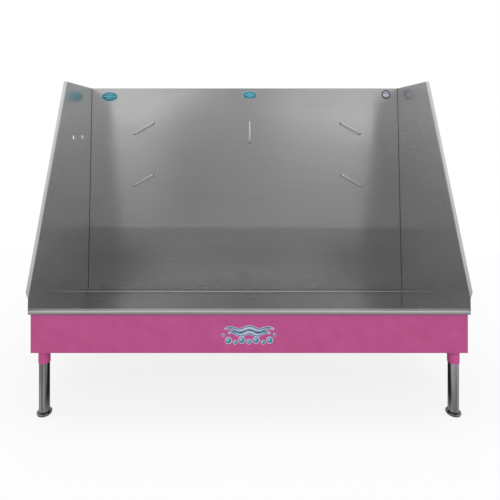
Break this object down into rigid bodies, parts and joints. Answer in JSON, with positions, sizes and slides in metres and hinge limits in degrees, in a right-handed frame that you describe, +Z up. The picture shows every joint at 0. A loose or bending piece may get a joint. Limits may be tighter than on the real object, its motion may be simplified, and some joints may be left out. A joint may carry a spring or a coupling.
{
  "type": "dog grooming tub",
  "caption": "Raised stainless dog washing tub with tall splash panels, slanted sides, painted front apron, restraint bars, basket drain and round legs on screw-in levelling feet.",
  "frame": {"origin": "on the floor under the middle of the tub's box, feet screwed in", "axes": "+X to the right as the groomer at the front sees it, +Y to the back panel, +Z up"},
  "size_m": [1.496, 0.635, 1.162],
  "materials": {
    "stainless": "brushed stainless sheet and tube, satin with soft vertical reflections",
    "pink_powder_coat": "pink powder coat, satin with a faint mottle",
    "zinc_steel": "bright zinc plated steel",
    "black_rubber": "moulded black rubber",
    "washer_fibre": "dull brown fibre"
  },
  "bodies": {
    "tub": {"basin": "stainless", "back_panel": "stainless", "left_side_panel": "stainless", "right_side_panel": "stainless", "upper_left_restraint_bar": "stainless", "upper_right_restraint_bar": "stainless", "lower_left_restraint_bar": "stainless", "lower_right_restraint_bar": "stainless", "middle_restraint_bar": "stainless", "front_apron": "pink_powder_coat", "front_rail": "pink_powder_coat", "rear_rail": "pink_powder_coat", "left_side_rail": "pink_powder_coat", "right_side_rail": "pink_powder_coat", "front_floor_bearer": "pink_powder_coat", "rear_floor_bearer": "pink_powder_coat", "front_left_leg_socket": "pink_powder_coat", "front_right_leg_socket": "pink_powder_coat", "rear_left_leg_socket": "pink_powder_coat", "rear_right_leg_socket": "pink_powder_coat", "front_left_set_screw": "zinc_steel", "front_right_set_screw": "zinc_steel", "rear_left_set_screw": "zinc_steel", "rear_right_set_screw": "zinc_steel", "front_left_leg_tube": "stainless", "front_right_leg_tube": "stainless", "rear_left_leg_tube": "stainless", "rear_right_leg_tube": "stainless", "front_left_leg_insert": "zinc_steel", "front_right_leg_insert": "zinc_steel", "rear_left_leg_insert": "zinc_steel", "rear_right_leg_insert": "zinc_steel", "strainer_body": "stainless", "strainer_gasket": "black_rubber", "friction_washer": "washer_fibre", "strainer_locknut": "zinc_steel", "tailpiece_washer": "washer_fibre", "drain_tailpiece": "stainless", "coupling_nut": "zinc_steel"},
    "front_left_foot": {"front_left_foot_base": "stainless", "front_left_foot_pad": "black_rubber"},
    "front_right_foot": {"front_right_foot_base": "stainless", "front_right_foot_pad": "black_rubber"},
    "rear_left_foot": {"rear_left_foot_base": "stainless", "rear_left_foot_pad": "black_rubber"},
    "rear_right_foot": {"rear_right_foot_base": "stainless", "rear_right_foot_pad": "black_rubber"},
    "front_left_stud": {"front_left_foot_stud": "zinc_steel"},
    "front_right_stud": {"front_right_foot_stud": "zinc_steel"},
    "rear_left_stud": {"rear_left_foot_stud": "zinc_steel"},
    "rear_right_stud": {"rear_right_foot_stud": "zinc_steel"},
    "basket": {"strainer_basket": "stainless"}
  },
  "joints": [
    {"name": "front_left_foot_travel", "type": "slide", "parent": "tub", "child": "front_left_foot", "axis": [0, 0, -1], "range_m": [0, 0.028]},
    {"name": "front_right_foot_travel", "type": "slide", "parent": "tub", "child": "front_right_foot", "axis": [0, 0, -1], "range_m": [0, 0.028]},
    {"name": "rear_left_foot_travel", "type": "slide", "parent": "tub", "child": "rear_left_foot", "axis": [0, 0, -1], "range_m": [0, 0.028]},
    {"name": "rear_right_foot_travel", "type": "slide", "parent": "tub", "child": "rear_right_foot", "axis": [0, 0, -1], "range_m": [0, 0.028]},
    {"name": "front_left_stud_turn", "type": "hinge", "parent": "front_left_foot", "child": "front_left_stud", "pos_m": [-0.697, -0.2815, 0.035], "axis": [0, 0, -1], "range_deg": [0, 5760]},
    {"name": "front_right_stud_turn", "type": "hinge", "parent": "front_right_foot", "child": "front_right_stud", "pos_m": [0.697, -0.2815, 0.035], "axis": [0, 0, -1], "range_deg": [0, 5760]},
    {"name": "rear_left_stud_turn", "type": "hinge", "parent": "rear_left_foot", "child": "rear_left_stud", "pos_m": [-0.697, 0.2205, 0.035], "axis": [0, 0, -1], "range_deg": [0, 5760]},
    {"name": "rear_right_stud_turn", "type": "hinge", "parent": "rear_right_foot", "child": "rear_right_stud", "pos_m": [0.697, 0.2205, 0.035], "axis": [0, 0, -1], "range_deg": [0, 5760]},
    {"name": "basket_lift", "type": "slide", "parent": "tub", "child": "basket", "axis": [0, 0, 1], "range_m": [0, 0.06]}
  ],
  "couplings": [
    {"joint": "front_left_stud_turn", "follows": "front_left_foot_travel", "rad_per_m": 3590.4},
    {"joint": "front_right_stud_turn", "follows": "front_right_foot_travel", "rad_per_m": 3590.4},
    {"joint": "rear_left_stud_turn", "follows": "rear_left_foot_travel", "rad_per_m": 3590.4},
    {"joint": "rear_right_stud_turn", "follows": "rear_right_foot_travel", "rad_per_m": 3590.4}
  ]
}
